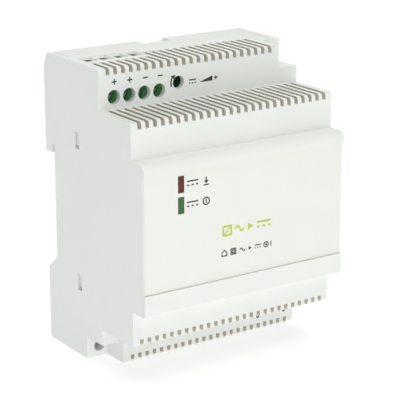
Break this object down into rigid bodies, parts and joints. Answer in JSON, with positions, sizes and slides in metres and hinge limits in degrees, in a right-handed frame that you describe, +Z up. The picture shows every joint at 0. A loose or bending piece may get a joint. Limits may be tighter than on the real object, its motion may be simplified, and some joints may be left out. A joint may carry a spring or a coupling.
{
  "type": "din rail power supply",
  "caption": "Stepped housing power supply that hooks on a 35 mm rail, with vented decks, screw clamp terminals, a sprung rail latch and a label panel with indicator lamps.",
  "frame": {"origin": "on the rail seat, at the centre line of the 35 mm rail and the middle of the housing's width", "axes": "+X right as seen from the front, -Y out of the front, +Z up"},
  "size_m": [0.071, 0.0556, 0.091],
  "materials": {
    "housing_light": "fine matte moulded",
    "housing_grey": "fine matte moulded",
    "latch_grey": "fine matte moulded",
    "label_film": "satin printed film",
    "steel": "zinc plated",
    "tinned_brass": "plated",
    "circuit_board": "solder mask",
    "terminal_green": "moulded",
    "trimmer_blue": "moulded",
    "black_plastic": "moulded",
    "lamp_red": "diffused epoxy",
    "lamp_green": "diffused epoxy",
    "ferrite": "sintered",
    "winding_tape": "polyester tape",
    "capacitor_sleeve": "shrink sleeve",
    "yellow_film": "moulded box",
    "disc_blue": "dipped coating",
    "copper_enamel": "enamelled copper wire",
    "fuse_brown": "moulded case",
    "aluminium": "sheared and drilled plate",
    "insulating_pad": "silicone pad"
  },
  "bodies": {
    "housing": {"rear_base": "housing_grey", "front_cover": "housing_light", "label_plate": "label_film", "latch_spring": "steel", "main_board": "circuit_board", "board_screws": "steel", "output_terminal_body": "terminal_green", "output_contacts": "tinned_brass", "input_terminal_body": "terminal_green", "input_contacts": "tinned_brass", "trimmer_body": "trimmer_blue", "lamp_board": "circuit_board", "lamp_board_header": "black_plastic", "red_lamp": "lamp_red", "green_lamp": "lamp_green", "transformer_core": "ferrite", "transformer_bobbin": "black_plastic", "transformer_winding": "winding_tape", "bulk_capacitor": "capacitor_sleeve", "suppression_capacitor": "yellow_film", "y_capacitor": "disc_blue", "choke_core": "ferrite", "choke_windings": "copper_enamel", "fuse": "fuse_brown", "varistor": "disc_blue", "bridge_rectifier": "black_plastic", "primary_heatsink": "aluminium", "primary_transistor": "black_plastic", "secondary_heatsink": "aluminium", "output_diode": "black_plastic", "device_pads": "insulating_pad", "device_screws": "steel", "output_capacitor_1": "capacitor_sleeve", "output_capacitor_2": "capacitor_sleeve", "output_inductor": "ferrite", "optocoupler": "black_plastic", "control_chip": "black_plastic"},
    "latch": {"rail_latch": "latch_grey"},
    "trimmer": {"trimmer_rotor": "black_plastic"},
    "output_screw_1": {"output_screw_1": "steel"},
    "output_clamp_1": {"output_clamp_1": "tinned_brass"},
    "output_screw_2": {"output_screw_2": "steel"},
    "output_clamp_2": {"output_clamp_2": "tinned_brass"},
    "output_screw_3": {"output_screw_3": "steel"},
    "output_clamp_3": {"output_clamp_3": "tinned_brass"},
    "output_screw_4": {"output_screw_4": "steel"},
    "output_clamp_4": {"output_clamp_4": "tinned_brass"},
    "input_screw_1": {"input_screw_1": "steel"},
    "input_clamp_1": {"input_clamp_1": "tinned_brass"},
    "input_screw_2": {"input_screw_2": "steel"},
    "input_clamp_2": {"input_clamp_2": "tinned_brass"}
  },
  "joints": [
    {"name": "latch_slide", "type": "slide", "parent": "housing", "child": "latch", "axis": [0, 0, -1], "range_m": [0, 0.004], "stiffness_N_per_m": 600, "springref_m": -0.003, "deforming": ["latch_spring"]},
    {"name": "trimmer_turn", "type": "hinge", "parent": "housing", "child": "trimmer", "pos_m": [-0.00815, -0.0145, 0.0385], "axis": [0, 1, 0], "range_deg": [-135, 135]},
    {"name": "output_screw_1_turn", "type": "hinge", "parent": "housing", "child": "output_screw_1", "pos_m": [-0.03025, -0.0215, 0.03685], "axis": [0, 1, 0], "range_deg": [0, 1440]},
    {"name": "output_clamp_1_rise", "type": "slide", "parent": "housing", "child": "output_clamp_1", "axis": [0, -1, 0], "range_m": [0, 0.0018]},
    {"name": "output_screw_2_turn", "type": "hinge", "parent": "housing", "child": "output_screw_2", "pos_m": [-0.02512, -0.0215, 0.03685], "axis": [0, 1, 0], "range_deg": [0, 1440]},
    {"name": "output_clamp_2_rise", "type": "slide", "parent": "housing", "child": "output_clamp_2", "axis": [0, -1, 0], "range_m": [0, 0.0018]},
    {"name": "output_screw_3_turn", "type": "hinge", "parent": "housing", "child": "output_screw_3", "pos_m": [-0.01999, -0.0215, 0.03685], "axis": [0, 1, 0], "range_deg": [0, 1440]},
    {"name": "output_clamp_3_rise", "type": "slide", "parent": "housing", "child": "output_clamp_3", "axis": [0, -1, 0], "range_m": [0, 0.0018]},
    {"name": "output_screw_4_turn", "type": "hinge", "parent": "housing", "child": "output_screw_4", "pos_m": [-0.01486, -0.0215, 0.03685], "axis": [0, 1, 0], "range_deg": [0, 1440]},
    {"name": "output_clamp_4_rise", "type": "slide", "parent": "housing", "child": "output_clamp_4", "axis": [0, -1, 0], "range_m": [0, 0.0018]},
    {"name": "input_screw_1_turn", "type": "hinge", "parent": "housing", "child": "input_screw_1", "pos_m": [0.03015, -0.0215, -0.03685], "axis": [0, 1, 0], "range_deg": [0, 1440]},
    {"name": "input_clamp_1_rise", "type": "slide", "parent": "housing", "child": "input_clamp_1", "axis": [0, -1, 0], "range_m": [0, 0.0018]},
    {"name": "input_screw_2_turn", "type": "hinge", "parent": "housing", "child": "input_screw_2", "pos_m": [0.01999, -0.0215, -0.03685], "axis": [0, 1, 0], "range_deg": [0, 1440]},
    {"name": "input_clamp_2_rise", "type": "slide", "parent": "housing", "child": "input_clamp_2", "axis": [0, -1, 0], "range_m": [0, 0.0018]}
  ],
  "couplings": [
    {"joint": "output_screw_1_turn", "follows": "output_clamp_1_rise", "rad_per_m": 13961},
    {"joint": "output_screw_2_turn", "follows": "output_clamp_2_rise", "rad_per_m": 13961},
    {"joint": "output_screw_3_turn", "follows": "output_clamp_3_rise", "rad_per_m": 13961},
    {"joint": "output_screw_4_turn", "follows": "output_clamp_4_rise", "rad_per_m": 13961},
    {"joint": "input_screw_1_turn", "follows": "input_clamp_1_rise", "rad_per_m": 13961},
    {"joint": "input_screw_2_turn", "follows": "input_clamp_2_rise", "rad_per_m": 13961}
  ]
}
